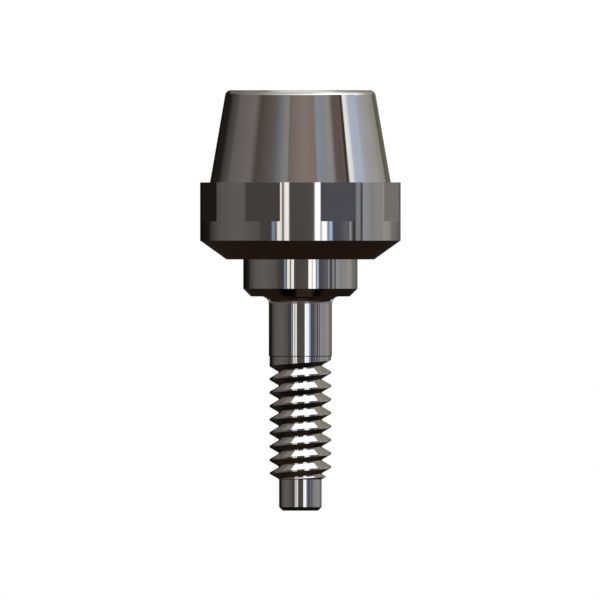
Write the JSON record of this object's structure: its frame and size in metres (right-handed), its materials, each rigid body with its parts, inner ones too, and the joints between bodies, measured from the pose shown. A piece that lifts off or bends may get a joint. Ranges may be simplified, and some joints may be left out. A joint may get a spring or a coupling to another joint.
{
  "type": "magnetic abutment",
  "caption": "Implant abutment with a conical magnet head, a collar with driver flats, a seat ring, a locating neck and a threaded shank with a plain pilot tip.",
  "frame": {"origin": "on the axis, in the plane of the flat ring under the collar that seats on the implant", "axes": "+Z along the axis, away from the implant and towards the prosthesis; +X is square to the axis through the middle of a rounded stretch between two driver flats"},
  "size_m": [0.0052, 0.0052, 0.0109],
  "materials": {
    "titanium": "polished titanium alloy, grey with a faint warm tone, with fine turning marks",
    "magnet": "ground sintered magnet, dark grey and satin"
  },
  "bodies": {
    "root": {"abutment_body": "titanium", "magnet_cap": "titanium", "magnet": "magnet"}
  },
  "joints": []
}
